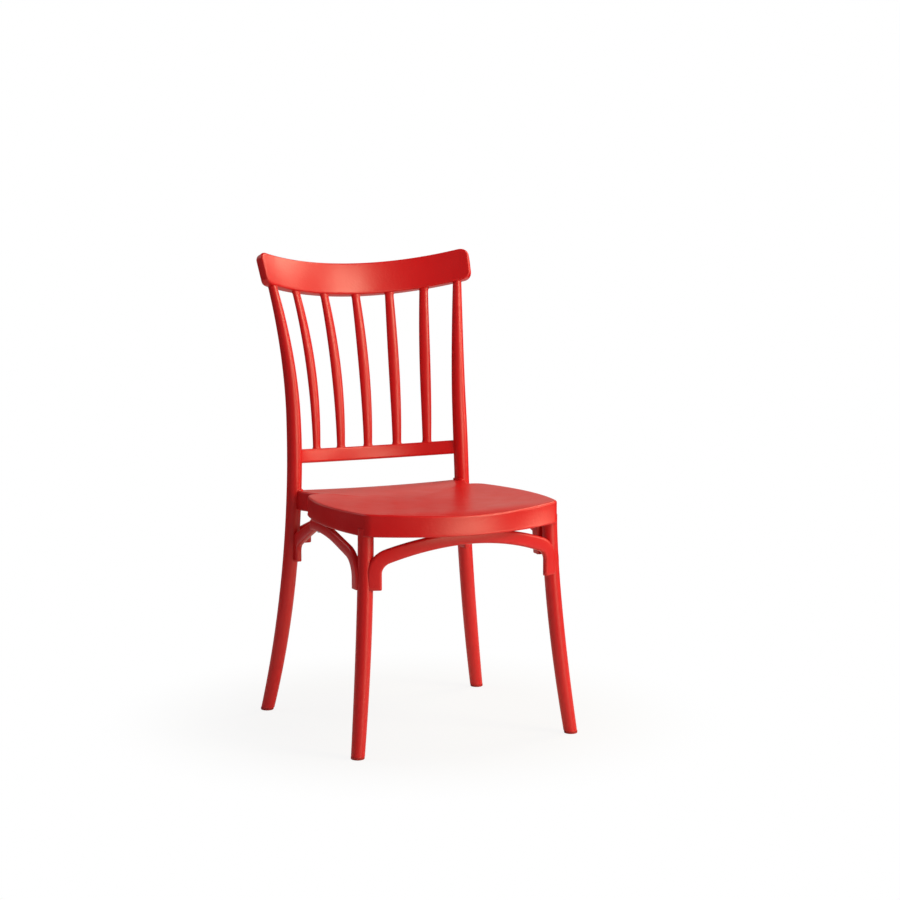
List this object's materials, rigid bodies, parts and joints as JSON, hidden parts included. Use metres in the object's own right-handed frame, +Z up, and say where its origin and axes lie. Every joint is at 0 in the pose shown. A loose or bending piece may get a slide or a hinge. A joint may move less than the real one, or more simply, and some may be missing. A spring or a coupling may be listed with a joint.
{
  "type": "stacking chair",
  "caption": "Red moulded plastic stacking chair with a dished seat, curved spindle back, splayed round legs and arched braces under the seat.",
  "frame": {"origin": "on the floor, under the middle of the chair's bounding box", "axes": "+Z up, the chair faces -Y, +X to the right of a viewer who looks at its front"},
  "size_m": [0.4986, 0.5964, 0.918],
  "materials": {
    "red_plastic": "satin moulded polypropylene, coloured right through, with a fine even grain",
    "glide_plastic": "satin moulded nylon, red like the legs",
    "zinc_steel": "zinc-plated steel"
  },
  "bodies": {
    "root": {"seat_shell": "red_plastic", "front_leg_left": "red_plastic", "front_leg_right": "red_plastic", "rear_post_left": "red_plastic", "rear_post_right": "red_plastic", "crest_rail": "red_plastic", "lower_back_rail": "red_plastic", "spindle_1": "red_plastic", "spindle_2": "red_plastic", "spindle_3": "red_plastic", "spindle_4": "red_plastic", "spindle_5": "red_plastic", "arch_front": "red_plastic", "arch_rear": "red_plastic", "arch_left": "red_plastic", "arch_right": "red_plastic", "stacking_lug_front_left": "red_plastic", "stacking_lug_front_right": "red_plastic", "stacking_lug_rear_left": "red_plastic", "stacking_lug_rear_right": "red_plastic", "arch_dowel_left_1": "red_plastic", "arch_dowel_left_2": "red_plastic", "arch_dowel_left_3": "red_plastic", "arch_dowel_left_4": "red_plastic", "arch_dowel_right_1": "red_plastic", "arch_dowel_right_2": "red_plastic", "arch_dowel_right_3": "red_plastic", "arch_dowel_right_4": "red_plastic", "foot_glide_front_left": "glide_plastic", "foot_glide_front_right": "glide_plastic", "foot_glide_rear_left": "glide_plastic", "foot_glide_rear_right": "glide_plastic", "arch_screw_front": "zinc_steel", "arch_screw_rear": "zinc_steel", "arch_screw_left": "zinc_steel", "arch_screw_right": "zinc_steel", "leg_bolt_left": "zinc_steel", "leg_bolt_right": "zinc_steel", "post_bolt_left": "zinc_steel", "post_bolt_right": "zinc_steel", "lug_bolt_front_left": "zinc_steel", "lug_bolt_front_right": "zinc_steel", "lug_bolt_rear_left": "zinc_steel", "lug_bolt_rear_right": "zinc_steel"}
  },
  "joints": []
}
